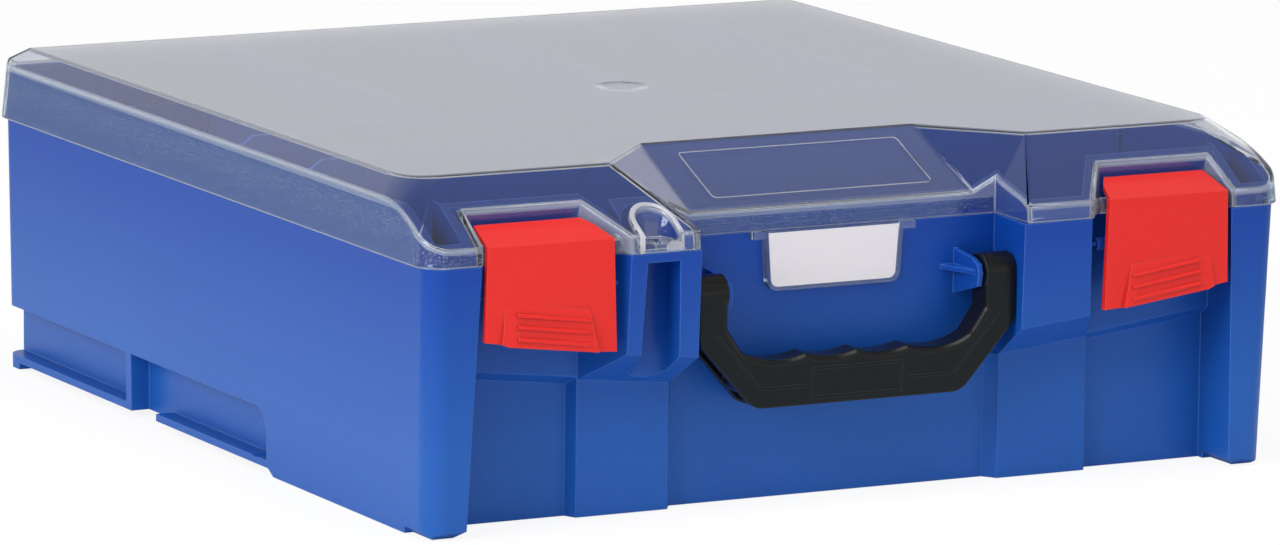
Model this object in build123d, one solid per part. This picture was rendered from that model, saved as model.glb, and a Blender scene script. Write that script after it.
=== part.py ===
from build123d import *
import math
import os

# Saw blade storage case: a blue moulded box with a clear hinged lid, two red over-centre
# latches, a black drop handle, a label pocket and lift-out dividers.
# Millimetres. +X is to the right of a person facing the front, the front faces -Y, +Z is up.
# The origin is the centre of the flat underside. Left and right details are mirror images
# about the YZ plane, except the tool slot and the scoop above it, which are on the left only.

# ---- driving dimensions: lid ----
LID_HALF_X = 180.0
LID_HALF_Y = 194.0
LID_CORNER_R = 10.5
LID_WALL = 2.0
RIM_Z = 100.0
SHOULDER_Z = 121.0
TOP_Z = 128.0
LID_DRAFT = 1.5
SIDE_BEVEL = 8.5
BACK_BEVEL = 11.0
SLOPE_FOOT_Y = -193.4
SLOPE_FOOT_Z = 107.0
SLOPE_TOP_Y = -158.0
RIDGE_R = 22.0

# ---- driving dimensions: centre panel of the lid, right half ----
PANEL_TOP = (58.0, -125.0, TOP_Z)
PANEL_FOOT = (59.0, -168.5, 109.2)
FACET_TOP = (87.5, SLOPE_TOP_Y, TOP_Z)
UPPER_FACET_SLOPE = (0.4962, 0.4436)
LOWER_FACET_SLOPE = (0.6432, 0.2491)
RECESS_HALF_X = 68.5
RECESS_Y = -168.5

# ---- driving dimensions: latch notches and scoop in the lid ----
NOTCH_FRONT_X = (96.5, 156.5)
NOTCH_BACK_X = (108.4, 155.5)
NOTCH_BACK_Y = -176.0
NOTCH_BACK_Z = 117.3
NOTCH_FOOT_Y = -173.2
AXLE_Y = -187.5
AXLE_Z = 103.5
AXLE_R = 3.0
SCOOP_X = -84.3
SCOOP_HALF_X = 7.1
SCOOP_BACK_Y = -179.9
SCOOP_WELL = (-85.2, 9.6, -178.0)
SCOOP_FLOOR_Z = 103.5
SCOOP_MOUTH_Z = 104.4
SCOOP_RIB_X = (-87.2, -82.0)
SCOOP_RIB = 1.0

# ---- driving dimensions: case ----
CASE_TOP_HALF = (177.5, 191.5)
CASE_FOOT_HALF = (175.8, 190.8)
CASE_FRONT_Y = (-188.9, -193.0)
CASE_CORNER_R = 8.0
CASE_WALL = 2.5
LID_GAP = 0.45
WALL_TOP_Z = 119.0
FLOOR_TOP_Z = 5.2
RIM_GAP = 0.3
CENTRE_RECESS_X = 69.8
CENTRE_MOUTH_X = 67.7
CENTRE_WALL_Y = -166.1
CENTRE_FOOT_X = 66.0
CENTRE_FOOT_Z = 47.0
LATCH_WALL_Y = -171.5
PANEL_WALL_Y = -166.5
PANEL_SIDE_X = (107.2, 109.4)
PILLAR_FRONT_X = (160.2, 156.6)
PILLAR_DEEP_X = 160.0
PILLAR_FOOT_BEVEL = (3.6, 2.6)
BOSS_OUTER_X = 97.0
BOSS_SIDE_LEAN = 0.5
LEDGE_X = 108.0
LEDGE_Z = 52.4
LEDGE_RISE = 0.119
LEDGE_DROP = 0.7
BOSS_FOOT_Z = 60.0
BOSS_FOOT_RISE = 0.104
BOSS_CHAMFER_DROP = 0.645
SNAP_BAR_Y = -186.5
SNAP_BAR_Z = 89.0
SNAP_BAR_R = 2.4
SNAP_BAR_X = 101.4
SNAP_TIE_R = 0.8
SLOT_FOOT = (-83.7, 8.5)
SLOT_TOP = (-82.95, 6.65)
SLOT_Z = (45.0, 96.4)
SLOT_BACK_Y = -175.2

# ---- driving dimensions: side rails ----
RAIL_FLOOR_X = 168.3
RAIL_Z = (5.3, 24.8)
RAIL_FLANGE_Z = 2.5
RAIL_FLANGE_X = 176.5
RAIL_FRONT_Y = -52.7
RAIL_CORNER_R = 10.0
RAIL_RIB_Y = (69.9, 74.5)

# ---- driving dimensions: hinges, latches, handle, label, dividers ----
HINGE_Y = 195.2
HINGE_Z = 96.0
HINGE_X = 110.0
KNUCKLE_R = 3.5
PIN_R = 1.5
PIN_CLEARANCE = 0.06
LUG_R = 4.9
LUG_ANGLE = -34.0
LID_KNUCKLE_LENGTH = 24.0
CASE_KNUCKLE_LENGTH = 12.0
LATCH_FACE_Y = -193.3
LATCH_PLATE = 2.5
LATCH_HOOK_R = 4.8
LATCH_RIDGE_R = 0.9
LATCH_FOLD_Z = 106.7
PIVOT_Y = -180.1
PIVOT_Z = 81.0
HANDLE_X = 1.2
HANDLE_Y = (-187.0, -174.2)
HANDLE_ARM_X = (54.0, 65.9)
HANDLE_FOOT_X = 43.5
HANDLE_Z = (37.8, 63.0)
HANDLE_BOSS_R = 6.9
HANDLE_PIN_R = 3.0
HANDLE_WALL = 2.6
HANDLE_EDGE_R = 2.4
HANDLE_CORNER_R = (6.0, 9.0)
GROOVE_INSET = 6.9
GROOVE_WIDTH = 0.6
GROOVE_DEPTH = 0.4
GROOVE_TOP_Z = 66.0
GRIP_PANEL_X = (-19.6, 18.6)
GRIP_PANEL_Z = (40.0, 51.4)
FINGER_PITCH = 21.4
FINGER_RIDGE_Z = 57.0
FINGER_HOLLOW_Z = 55.2
EAR_X = (51.4, 53.4)
HOLDER_Y = (-169.9, -168.9, -168.3, -166.5)
DIVIDER = 2.0
DIVIDER_TOP_Z = 122.0
LONG_DIVIDER_Y = (-82.0, -22.0)
CROSS_DIVIDER_X = (-88.0, 15.0, 115.0)
FAR = 400.0


# ---- small geometry helpers ----
def span_box(x, y, z):
    """A box between two values on each axis."""
    size = (x[1] - x[0], y[1] - y[0], z[1] - z[0])
    return Pos(x[0], y[0], z[0]) * Box(*size, align=(Align.MIN, Align.MIN, Align.MIN))


def prism_z(points, z, grow=0.0):
    """A polygon in plan, raised between two heights, with its sides moved out by grow."""
    outline = Polygon(*points, align=None)
    if grow:
        outline = offset(outline, amount=grow, kind=Kind.INTERSECTION)
    return extrude(Plane.XY.offset(z[0]) * outline, z[1] - z[0], dir=(0, 0, 1))


def prism_x(points, x, grow=0.0):
    """A polygon of (y, z) points, drawn out between two x positions."""
    outline = Polygon(*points, align=None)
    if grow:
        outline = offset(outline, amount=grow, kind=Kind.INTERSECTION)
    return extrude(Plane.YZ.offset(x[0]) * outline, x[1] - x[0], dir=(1, 0, 0))


def prism_y(points, y):
    """A polygon of (x, z) points, drawn out between two y positions."""
    outline = Plane.XZ.offset(-y[0]) * Polygon(*points, align=None)
    return extrude(outline, y[1] - y[0], dir=(0, 1, 0))


def rod_x(radius, x, y, z):
    """A round bar along X."""
    bar = Cylinder(radius, x[1] - x[0], align=(Align.CENTER, Align.CENTER, Align.MIN))
    return Pos(x[0], y, z) * Rot(0, 90, 0) * bar


def beyond(point, normal, inset=0.0):
    """Everything on the far side of a plane, which is first moved back by inset."""
    start = Vector(*point) - Vector(*normal).normalized() * inset
    slab = Box(3 * FAR, 3 * FAR, FAR, align=(Align.CENTER, Align.CENTER, Align.MIN))
    return Plane(origin=start, z_dir=Vector(*normal)) * slab


def flipped(shape):
    """The mirror image on the other side of the case."""
    return mirror(shape, about=Plane.YZ)


def both_sides(shape):
    """A right-hand detail together with its left-hand mirror image."""
    return shape + flipped(shape)


def rounded_loft(low, high, radius, z):
    """A block with round vertical corners that leans evenly between two plan sizes.

    Each size is the half width, the front y and the back y.
    """
    outlines = []
    for (half_x, front_y, back_y), level in ((low, z[0]), (high, z[1])):
        outline = RectangleRounded(2 * half_x, back_y - front_y, radius)
        outlines.append(Pos(0, (front_y + back_y) / 2, level) * outline)
    return loft(outlines, ruled=True)


# ---- lid ----
def lid_block(inset):
    """The lid before its front is shaped: leaning sides under bevels, a flat top."""
    foot_z = RIM_Z if inset == 0 else RIM_Z - 4
    lean = LID_DRAFT / (SHOULDER_Z - RIM_Z)
    foot_lean = (foot_z - RIM_Z) * lean + inset
    top_lean = (TOP_Z - RIM_Z) * lean + inset
    foot = (LID_HALF_X - foot_lean, foot_lean - LID_HALF_Y, LID_HALF_Y - foot_lean)
    top = (LID_HALF_X - top_lean, top_lean - LID_HALF_Y, LID_HALF_Y - top_lean)
    block = rounded_loft(foot, top, LID_CORNER_R - inset, (foot_z, TOP_Z))
    shoulder_x = LID_HALF_X - LID_DRAFT
    shoulder_y = LID_HALF_Y - LID_DRAFT
    rise = TOP_Z - SHOULDER_Z
    block -= beyond((0, 0, TOP_Z), (0, 0, 1), inset)
    block -= beyond((shoulder_x, 0, SHOULDER_Z), (rise, 0, SIDE_BEVEL), inset)
    block -= beyond((-shoulder_x, 0, SHOULDER_Z), (-rise, 0, SIDE_BEVEL), inset)
    block -= beyond((0, shoulder_y, SHOULDER_Z), (0, rise, BACK_BEVEL), inset)
    slope_run = SLOPE_TOP_Y - SLOPE_FOOT_Y
    slope_rise = TOP_Z - SLOPE_FOOT_Z
    block -= beyond((0, SLOPE_FOOT_Y, SLOPE_FOOT_Z), (0, -slope_rise, slope_run), inset)
    return block - both_sides(ridge_blend(inset))


def ridge_blend(inset):
    """What the round blend between a side bevel and the front slope takes away, right side."""
    side_normal = Vector(TOP_Z - SHOULDER_Z, 0, SIDE_BEVEL).normalized()
    slope_run = SLOPE_TOP_Y - SLOPE_FOOT_Y
    front_normal = Vector(0, SLOPE_FOOT_Z - TOP_Z, slope_run).normalized()
    corner = Vector(LID_HALF_X - LID_DRAFT - SIDE_BEVEL, SLOPE_TOP_Y, TOP_Z)
    along = side_normal.cross(front_normal).normalized()
    half_angle = math.acos(side_normal.dot(front_normal)) / 2
    middle = (side_normal + front_normal).normalized()
    centre = corner - middle * (RIDGE_R / math.cos(half_angle))
    radius = RIDGE_R - inset
    frame = Plane(origin=centre - along * 60, x_dir=middle, z_dir=along)
    reach = Vector(radius, 0)
    touch_low = reach.rotate(Axis.Z, -math.degrees(half_angle))
    touch_high = reach.rotate(Axis.Z, math.degrees(half_angle))
    kite = Polygon((0, 0), 1.3 * touch_low, (1.5 * radius, 0), 1.3 * touch_high, align=None)
    return extrude(frame * (kite - Circle(radius)), 120.0)


def panel_trough(inset):
    """The space over the sunk centre panel and the two folded facets beside it."""
    panel_slope = (TOP_Z - PANEL_FOOT[2]) / (PANEL_TOP[1] - PANEL_FOOT[1])
    trough = beyond(PANEL_TOP, (0, -panel_slope, 1), inset)
    for slope_x, slope_y in (UPPER_FACET_SLOPE, LOWER_FACET_SLOPE):
        for side in (1, -1):
            corner = (side * FACET_TOP[0], FACET_TOP[1], FACET_TOP[2])
            trough &= beyond(corner, (-side * slope_x, -slope_y, 1), inset)
    return trough


def latch_notch(inset):
    """The cut in the lid's front edge that a latch fits in, right side."""
    lean_in = (NOTCH_BACK_X[0] - NOTCH_FRONT_X[0]) / (NOTCH_BACK_Y + LID_HALF_Y)
    lean_out = (NOTCH_BACK_X[1] - NOTCH_FRONT_X[1]) / (NOTCH_BACK_Y + LID_HALF_Y)
    plan = []
    for start, lean, y in (
        (NOTCH_FRONT_X[0], lean_in, -205.0),
        (NOTCH_FRONT_X[0], lean_in, NOTCH_FOOT_Y),
        (NOTCH_FRONT_X[1], lean_out, NOTCH_FOOT_Y),
        (NOTCH_FRONT_X[1], lean_out, -205.0),
    ):
        plan.append((start + lean * (y + LID_HALF_Y), y))
    back_lean = (NOTCH_BACK_Y - NOTCH_FOOT_Y) / (NOTCH_BACK_Z - RIM_Z)
    low_z = RIM_Z - 10
    high_z = TOP_Z + 4
    side = [
        (-210.0, low_z),
        (NOTCH_FOOT_Y + back_lean * (low_z - RIM_Z), low_z),
        (NOTCH_FOOT_Y + back_lean * (high_z - RIM_Z), high_z),
        (-210.0, high_z),
    ]
    return prism_z(plan, (low_z, high_z), inset) & prism_x(side, (80.0, 170.0), inset)


def arch(x, half_x, front_y, back_y):
    """An arch in plan: a half circle at the back with straight sides to the front."""
    middle_y = back_y - half_x
    plan = Pos(x, (front_y + middle_y) / 2) * Rectangle(2 * half_x, middle_y - front_y)
    return plan + Pos(x, middle_y) * Circle(half_x)


def scoop(inset, place):
    """A finger scoop in the slope over the left boss, behind a thin front rim."""
    x, half_x, back_y = place
    front_y = LID_WALL - LID_HALF_Y + 0.5 - inset
    plan = arch(x, half_x + inset, front_y, back_y + inset)
    return extrude(Plane.XY.offset(SCOOP_FLOOR_Z - inset) * plan, 40.0)


def lid_form(inset, scoop_place=(SCOOP_X, SCOOP_HALF_X, SCOOP_BACK_Y)):
    """The lid's outer shape as one solid, with every face moved in by inset."""
    form = lid_block(inset) - panel_trough(inset)
    form -= span_box(
        (-RECESS_HALF_X - inset, RECESS_HALF_X + inset), (-FAR, RECESS_Y + inset), (50.0, 160.0)
    )
    form -= both_sides(latch_notch(inset))
    return form - scoop(inset, scoop_place)


def scoop_mouth():
    """The air over the front rim of the scoop, which is lower than the rim beside it."""
    x = (SCOOP_X - SCOOP_HALF_X, SCOOP_X + SCOOP_HALF_X)
    return span_box(x, (-200.0, SCOOP_BACK_Y - SCOOP_HALF_X), (SCOOP_MOUTH_Z, TOP_Z))


def knuckle_foot(side_points, x, radius):
    """A hinge knuckle along X with the web that joins it to its wall."""
    barrel = rod_x(KNUCKLE_R, x, HINGE_Y, HINGE_Z)
    bore = rod_x(radius, (x[0] - 1, x[1] + 1), HINGE_Y, HINGE_Z)
    return barrel + prism_x(side_points, x) - bore


def stop_lug(x):
    """A lug on a lid knuckle that meets the case's back wall when the lid is fully open."""
    corners = []
    for angle, radius in ((-60, 2.5), (LUG_ANGLE, LUG_R), (LUG_ANGLE + 20, LUG_R), (0, 2.5)):
        corner = Vector(radius, 0).rotate(Axis.Z, angle)
        corners.append((HINGE_Y + corner.X, HINGE_Z + corner.Y))
    return prism_x(corners, x)


def lid_shell():
    """The clear cover: a thin shell with two latch axles and two hinge knuckles."""
    axle = rod_x(AXLE_R, (NOTCH_FRONT_X[0], NOTCH_FRONT_X[1] + 3.0), AXLE_Y, AXLE_Z)
    shell = lid_form(0) + both_sides(axle) - lid_form(LID_WALL) - scoop_mouth()
    for x in SCOOP_RIB_X:
        rib_x = (x - SCOOP_RIB / 2, x + SCOOP_RIB / 2)
        shell += span_box(rib_x, (-192.5, -188.5), (SCOOP_FLOOR_Z - 0.5, SCOOP_MOUTH_Z))
    half = LID_KNUCKLE_LENGTH / 2
    wall_y = LID_HALF_Y - LID_WALL + 0.2
    web = [
        (wall_y, RIM_Z),
        (wall_y, RIM_Z + 8),
        (LID_HALF_Y - 0.3, RIM_Z + 8),
        (HINGE_Y + KNUCKLE_R - 0.2, HINGE_Z + 1.2),
        (HINGE_Y, HINGE_Z),
    ]
    span = (HINGE_X - half, HINGE_X + half)
    knuckle = knuckle_foot(web, span, PIN_R + PIN_CLEARANCE)
    shell += both_sides(knuckle + stop_lug(span))
    gate = Pos(0, 2, TOP_Z) * Cylinder(10.0, 0.6)
    return shell - gate


# ---- case ----
def ledge_plane(raised=0.0):
    """Everything over the leaning underside of the latch wall, right side."""
    return beyond((LEDGE_X, LATCH_WALL_Y, LEDGE_Z + raised), (-LEDGE_RISE, LEDGE_DROP, 1))


def boss_chamfer_plane(inset=0.0):
    """Everything over the leaning chamfer under a boss, right side."""
    point = (CENTRE_MOUTH_X, -CASE_TOP_HALF[1], BOSS_FOOT_Z)
    return beyond(point, (-BOSS_FOOT_RISE, BOSS_CHAMFER_DROP, 1), inset)


def latch_wall_cut():
    """The air in front of the latch wall, between the boss and the leaning pillar, right side."""
    inner_foot = BOSS_OUTER_X + BOSS_SIDE_LEAN * (LATCH_WALL_Y + CASE_TOP_HALF[1])
    inner_front = BOSS_OUTER_X - BOSS_SIDE_LEAN * 8.5
    plans = []
    for outer_x, front_y, z in zip(PILLAR_FRONT_X, CASE_FRONT_Y, (0.0, RIM_Z)):
        spread = (PILLAR_DEEP_X - outer_x) / (LATCH_WALL_Y - front_y)
        plan = Polygon(
            (inner_front, -200.0),
            (inner_foot, LATCH_WALL_Y),
            (PILLAR_DEEP_X, LATCH_WALL_Y),
            (outer_x - spread * (200.0 + front_y), -200.0),
            align=None,
        )
        plans.append(Pos(0, 0, z) * plan)
    top_plan = plans[1].face()
    above = extrude(top_plan, 30.0, dir=(0, 0, 1))
    below = extrude(plans[0].face(), 1.0, dir=(0, 0, -1))
    return loft(plans, ruled=True) + above + below


def lower_panel_cut():
    """The deeper air under the ledge, right side."""
    plan = [
        (PANEL_SIDE_X[0], LATCH_WALL_Y - 0.1),
        (PANEL_SIDE_X[0], LATCH_WALL_Y),
        (PANEL_SIDE_X[1], PANEL_WALL_Y),
        (PILLAR_DEEP_X + 0.3, PANEL_WALL_Y),
        (PILLAR_DEEP_X, LATCH_WALL_Y - 0.1),
    ]
    return prism_z(plan, (-1.0, 75.0)) - ledge_plane()


def pillar_foot_bevel():
    """What the bevels round the foot of a corner pillar take away, right side."""
    run, rise = PILLAR_FOOT_BEVEL
    outer = beyond((CASE_FOOT_HALF[0], 0, rise), (rise, 0, -run))
    front = beyond((0, CASE_FRONT_Y[0], rise), (0, -rise, -run))
    inner = beyond((PILLAR_FRONT_X[0], 0, rise), (-rise, 0, -run))
    near_foot = span_box((150.0, 190.0), (-200.0, -170.0), (-1.0, 2 * rise))
    return (outer + front + inner) & near_foot


def under_boss_cut():
    """The air under a boss and its chamfer, right side."""
    block = span_box((CENTRE_MOUTH_X - 1, 108.0), (-200.0, LATCH_WALL_Y), (-1.0, 80.0))
    return block - boss_chamfer_plane()


def centre_recess():
    """The air round the handle, between leaning side walls that meet the lid's recess."""
    lean = (CENTRE_RECESS_X - CENTRE_MOUTH_X) / (CENTRE_WALL_Y + CASE_TOP_HALF[1])
    front_x = CENTRE_MOUTH_X - 8.5 * lean
    plan = [
        (-front_x, -200.0),
        (front_x, -200.0),
        (CENTRE_RECESS_X, CENTRE_WALL_Y),
        (-CENTRE_RECESS_X, CENTRE_WALL_Y),
    ]
    upper = span_box(
        (-CENTRE_RECESS_X, CENTRE_RECESS_X), (-FAR, CENTRE_WALL_Y), (RIM_Z - RIM_GAP, 130.0)
    )
    corner = [
        (CENTRE_RECESS_X, LATCH_WALL_Y),
        (CENTRE_RECESS_X, CENTRE_WALL_Y),
        (CENTRE_FOOT_X, CENTRE_WALL_Y),
    ]
    return prism_z(plan, (-1.0, RIM_Z)) + upper - both_sides(prism_z(corner, (-2.0, CENTRE_FOOT_Z)))


def rail_profile(grow):
    """Side view of the rail groove, open at the back, with a round top front corner."""
    front = RAIL_FRONT_Y - grow
    top = RAIL_Z[1] + grow
    radius = RAIL_CORNER_R + grow
    low = -1.0 if grow else RAIL_Z[0]
    long_part = span_box((0, 40), (front + radius, 230.0), (low, top))
    low_part = span_box((0, 40), (front, front + radius), (low, top - radius))
    return long_part + low_part + rod_x(radius, (0, 40), front + radius, top - radius)


def rail_cut():
    """The groove along a lower side edge, right side, with its rib and broken flange."""
    groove = Pos(RAIL_FLOOR_X, 0, 0) * rail_profile(0.0)
    step = [(-58.5, -1.0), (-58.5, 0.0), (-54.0, RAIL_FLANGE_Z), (178.0, RAIL_FLANGE_Z), (178.0, -1.0)]
    under = prism_x(step, (150.0, 200.0))
    under += span_box((RAIL_FLANGE_X, 200.0), (-55.0, 230.0), (-1.0, RAIL_Z[0] + 0.1))
    gap = span_box((RAIL_FLOOR_X, 200.0), (47.0, RAIL_RIB_Y[0]), (-1.0, 10.0))
    rib = span_box((RAIL_FLOOR_X - 1, RAIL_FLANGE_X), RAIL_RIB_Y, (RAIL_FLANGE_Z, 26.0))
    return groove + under + gap - rib


def case_cavity():
    """The inside of the case, a wall's thickness in from every outer face."""
    wall = CASE_WALL
    side = CASE_FOOT_HALF[0] - wall
    back = CASE_FOOT_HALF[1] - wall
    top = 135.0
    cavity = span_box((-side, side), (PANEL_WALL_Y + wall, back), (FLOOR_TOP_Z, top))
    cavity -= both_sides(Pos(RAIL_FLOOR_X - wall, 0, 0) * rail_profile(wall))
    front = wall - CASE_FOOT_HALF[1]
    back_y = PANEL_WALL_Y + 3
    pillar_plan = [
        (PILLAR_FRONT_X[0] + wall, front),
        (side, front),
        (side, back_y),
        (PILLAR_DEEP_X + wall + 0.3, back_y),
    ]
    pillar = prism_z(pillar_plan, (FLOOR_TOP_Z, top))
    pillar -= beyond((0, CASE_FRONT_Y[0], 0), (0, -RIM_Z, CASE_FRONT_Y[1] - CASE_FRONT_Y[0]), wall)
    latch_band = span_box((106.0, PILLAR_DEEP_X + wall), (LATCH_WALL_Y + wall, back_y), (45.0, top))
    latch_band &= ledge_plane(1.3 * wall)
    boss_plan = [
        (CENTRE_RECESS_X + wall, back_y),
        (CENTRE_RECESS_X + wall, front),
        (BOSS_OUTER_X - wall - 0.6, front),
        (107.0, PANEL_WALL_Y - 2),
        (107.0, back_y),
    ]
    boss = prism_z(boss_plan, (20.0, top)) & boss_chamfer_plane(-wall)
    under_boss = span_box(
        (CENTRE_RECESS_X + wall, 104.0), (LATCH_WALL_Y + wall, back_y), (FLOOR_TOP_Z, top)
    )
    right = pillar + latch_band + boss + under_boss
    tool_slot_housing = span_box((-96.0, -60.0), (-200.0, SLOT_BACK_Y + wall), (0.0, top))
    return cavity + right + (flipped(right) - tool_slot_housing)


def tool_slot():
    """The tall round-backed slot down the left boss, open in front and through the chamfer."""
    foot = arch(SLOT_FOOT[0], SLOT_FOOT[1], -200.0, SLOT_BACK_Y)
    top = arch(SLOT_TOP[0], SLOT_TOP[1], -200.0, SLOT_BACK_Y)
    return loft([Pos(0, 0, SLOT_Z[0]) * foot, Pos(0, 0, SLOT_Z[1]) * top], ruled=True)


def handle_ear():
    """A plate that carries one end of the handle, with a flat gusset, right side."""
    side = [
        (-165.0, 87.9),
        (-179.7, 86.0),
        (-183.8, 84.2),
        (-185.0, 81.0),
        (-184.0, 76.0),
        (-165.0, 70.4),
    ]
    ear = prism_x(side, EAR_X)
    web_x = EAR_X[0] + 0.5
    gusset = [(web_x, -184.4), (web_x, -165.0), (web_x - 6.7, -165.0), (web_x - 5.0, -168.0)]
    ear += prism_z(gusset, (PIVOT_Z - 0.9, PIVOT_Z + 0.9))
    hole = rod_x(HANDLE_PIN_R + PIN_CLEARANCE, (EAR_X[0] + 0.4, 60.0), PIVOT_Y, PIVOT_Z)
    return ear - hole


def divider_guides():
    """Pairs of thin upright ribs on the walls that hold the divider ends."""
    rib = 1.4
    reach = 3.0
    offset_y = DIVIDER / 2 + 0.25
    guides = None
    spots = []
    side = CASE_FOOT_HALF[0] - CASE_WALL
    for y in LONG_DIVIDER_Y:
        for start in (y - offset_y - rib, y + offset_y):
            spots.append(span_box((side - reach, side + 1.0), (start, start + rib), (30.0, 110.0)))
            spots.append(span_box((-side - 1.0, reach - side), (start, start + rib), (30.0, 110.0)))
    back = CASE_FOOT_HALF[1] - CASE_WALL
    for x in CROSS_DIVIDER_X:
        for start in (x - offset_y - rib, x + offset_y):
            depth = (back - reach, back + 1.0)
            spots.append(span_box((start, start + rib), depth, (FLOOR_TOP_Z - 1, 110.0)))
    for spot in spots:
        guides = spot if guides is None else guides + spot
    return guides


def case_knuckles():
    """The fixed knuckles on each side of a lid knuckle, right side."""
    inner = HINGE_X - LID_KNUCKLE_LENGTH / 2 - 0.4
    outer = HINGE_X + LID_KNUCKLE_LENGTH / 2 + 0.4
    wall = CASE_FOOT_HALF[1] - 1.0
    web = [
        (wall, RIM_Z - 1.6),
        (HINGE_Y - 2.0, HINGE_Z + 2.6),
        (HINGE_Y + KNUCKLE_R - 0.3, HINGE_Z - 1.2),
        (HINGE_Y + 1.6, HINGE_Z - 3.0),
        (wall, HINGE_Z - 14.0),
    ]
    knuckles = knuckle_foot(web, (inner - CASE_KNUCKLE_LENGTH, inner), PIN_R)
    return knuckles + knuckle_foot(web, (outer, outer + CASE_KNUCKLE_LENGTH), PIN_R)


def case_shell():
    """The blue box: one moulding with its front pockets, rails, ears, bars and knuckles."""
    foot = (CASE_FOOT_HALF[0], CASE_FRONT_Y[0], CASE_FOOT_HALF[1])
    rim = (CASE_TOP_HALF[0], CASE_FRONT_Y[1], CASE_TOP_HALF[1])
    lower = rounded_loft(foot, rim, CASE_CORNER_R, (0.0, RIM_Z))
    lower -= span_box((-FAR, FAR), (-FAR, FAR), (RIM_Z - RIM_GAP, 130.0))
    neck = (CASE_TOP_HALF[0], -CASE_TOP_HALF[1], CASE_TOP_HALF[1])
    upper = rounded_loft(neck, neck, CASE_CORNER_R, (RIM_Z, RIM_Z + 30))
    upper &= lid_form(LID_WALL + LID_GAP, SCOOP_WELL)
    upper &= span_box((-FAR, FAR), (-FAR, FAR), (RIM_Z - 1, WALL_TOP_Z))
    case = lower + upper
    case -= centre_recess()
    case -= both_sides(latch_wall_cut() + lower_panel_cut() + under_boss_cut())
    case -= both_sides(pillar_foot_bevel())
    case -= case_cavity()
    case -= both_sides(rail_cut())
    case -= tool_slot()
    case += divider_guides()
    bar = rod_x(SNAP_BAR_R, (SNAP_BAR_X, PILLAR_DEEP_X), SNAP_BAR_Y, SNAP_BAR_Z)
    bar += rod_x(SNAP_TIE_R, (97.5, SNAP_BAR_X + 1.0), SNAP_BAR_Y, SNAP_BAR_Z)
    case += both_sides(bar)
    case += Pos(HANDLE_X, 0, 0) * both_sides(handle_ear())
    return case + both_sides(case_knuckles())


# ---- latches ----
def latch():
    """A bent red latch that clips on the lid's axle, right side."""
    face = [
        (103.6, LATCH_FOLD_Z),
        (154.6, LATCH_FOLD_Z),
        (155.3, 72.0),
        (149.0, 71.0),
        (146.5, 70.0),
        (110.0, 65.5),
        (102.2, 65.0),
    ]
    inner_y = LATCH_FACE_Y + LATCH_PLATE
    plate = prism_y(face, (LATCH_FACE_Y, inner_y))
    bend = [
        (LATCH_FACE_Y, LATCH_FOLD_Z),
        (-177.7, 112.3),
        (-177.2, 110.4),
        (inner_y, 105.4),
        (inner_y, 102.5),
        (LATCH_FACE_Y, 102.5),
    ]
    plan = [
        (103.6, LATCH_FACE_Y),
        (106.5, -183.0),
        (110.2, -177.0),
        (152.6, -177.0),
        (154.6, LATCH_FACE_Y),
    ]
    latch_solid = plate + (prism_x(bend, (100.0, 157.0)) & prism_z(plan, (95.0, 115.0)))
    for x in ((112.0, 122.0), (138.0, 148.0)):
        latch_solid += rod_x(LATCH_HOOK_R, x, AXLE_Y, AXLE_Z)
        mouth = span_box((x[0] - 1, x[1] + 1), (0.0, 8.0), (-1.9, 1.9))
        latch_solid -= Pos(0, AXLE_Y, AXLE_Z) * Rot(-40, 0, 0) * mouth
    latch_solid -= rod_x(AXLE_R + 0.08, (90.0, 165.0), AXLE_Y, AXLE_Z)
    latch_solid += span_box((112.0, 148.0), (inner_y - 0.5, inner_y + 1.4), (86.8, 91.2))
    pad_side = [(LATCH_FACE_Y + 1, 85.0), (LATCH_FACE_Y, 84.5), (-195.2, 64.0), (LATCH_FACE_Y + 1, 64.0)]
    pad_face = [(113.3, 81.5), (147.2, 85.4), (149.0, 71.0), (146.5, 70.0), (110.0, 65.5)]
    latch_solid += prism_x(pad_side, (105.0, 152.0)) & prism_y(pad_face, (-198.0, -190.0))
    for z in (79.3, 75.0, 70.6):
        ridge_y = LATCH_FACE_Y - (84.5 - z) * 1.9 / 20.5
        ridge = Pos(128.2, ridge_y, z) * Rot(0, 82, 0) * Cylinder(LATCH_RIDGE_R, 29.5)
        latch_solid += ridge
    return latch_solid


# ---- handle ----
def finger_opening(grow=0.0):
    """Front view of the space inside the handle, with four finger hollows along the grip."""
    inner_x = HANDLE_ARM_X[0]
    top_z = 110.0
    half = [(inner_x, top_z), (inner_x, 68.2), (43.3, 52.8)]
    opening = Polygon(*half, *[(-x, z) for x, z in reversed(half)], align=None)
    depth = FINGER_RIDGE_Z - FINGER_HOLLOW_Z
    radius = ((FINGER_PITCH / 2) ** 2 + depth**2) / (2 * depth)
    wave = Pos(0, (FINGER_RIDGE_Z + top_z) / 2) * Rectangle(4 * FINGER_PITCH, top_z - FINGER_RIDGE_Z)
    for step in (-1.5, -0.5, 0.5, 1.5):
        wave += Pos(step * FINGER_PITCH, FINGER_HOLLOW_Z + radius) * Circle(radius)
    opening &= wave
    corners = opening.vertices().filter_by_position(Axis.Y, FINGER_RIDGE_Z - 1, 70.0)
    opening = fillet(corners, HANDLE_EDGE_R + 1.0)
    if grow:
        opening = offset(opening, amount=grow, kind=Kind.INTERSECTION)
    return opening


def handle_polygon():
    """Front view of the handle's outer edge with sharp corners, from pivot to pivot."""
    half = [(HANDLE_ARM_X[1], PIVOT_Z), (HANDLE_ARM_X[1], HANDLE_Z[1]), (HANDLE_FOOT_X, HANDLE_Z[0])]
    return Polygon(*half, *[(-x, z) for x, z in reversed(half)], align=None)


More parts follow.
